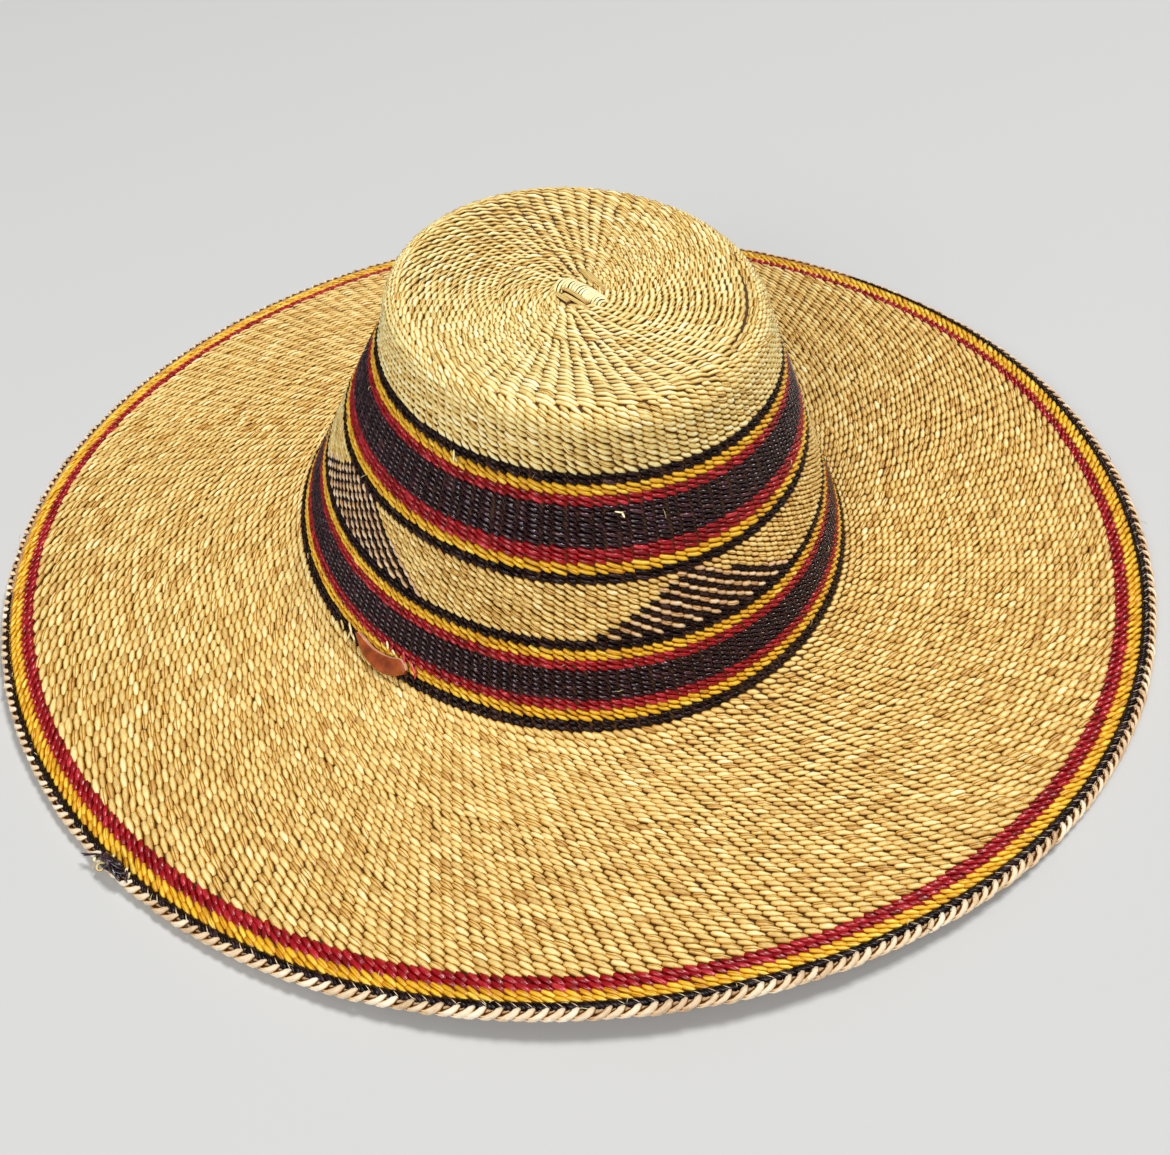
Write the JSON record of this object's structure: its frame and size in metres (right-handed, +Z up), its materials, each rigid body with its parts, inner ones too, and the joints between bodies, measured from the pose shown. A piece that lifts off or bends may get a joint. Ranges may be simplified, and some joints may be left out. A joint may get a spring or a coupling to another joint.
{
  "type": "bolga hat",
  "caption": "Wide-brimmed woven straw hat with a tapered oval crown, striped bands, a coloured rim and a leather tab.",
  "frame": {"origin": "on the surface the hat rests on, under the middle of its outline", "axes": "+Z up through the crown; -Y towards the side nearest the viewer, +X to the viewer's right"},
  "size_m": [0.379, 0.3834, 0.0876],
  "materials": {
    "tip_straw": "matte pale natural straw",
    "upper_band_straw": "dyed straw, mostly dark purple, with black, golden and red rows",
    "belt_straw": "matte natural straw with dark triangles",
    "lower_band_straw": "dyed straw, mostly dark purple, with black, golden and red rows",
    "brim_straw": "matte natural straw",
    "rim_stripe_straw": "dyed straw in red, golden and black rows",
    "braid_straw": "natural and black straw twisted together",
    "tab_leather": "plain orange-brown leather, semi-matte",
    "knot_straw": "dark purple straw ends"
  },
  "bodies": {
    "root": {"crown_tip": "tip_straw", "upper_band": "upper_band_straw", "middle_belt": "belt_straw", "lower_band": "lower_band_straw", "brim": "brim_straw", "rim_stripes": "rim_stripe_straw", "rim_braid": "braid_straw", "leather_tab": "tab_leather", "frayed_knot": "knot_straw"}
  },
  "joints": []
}
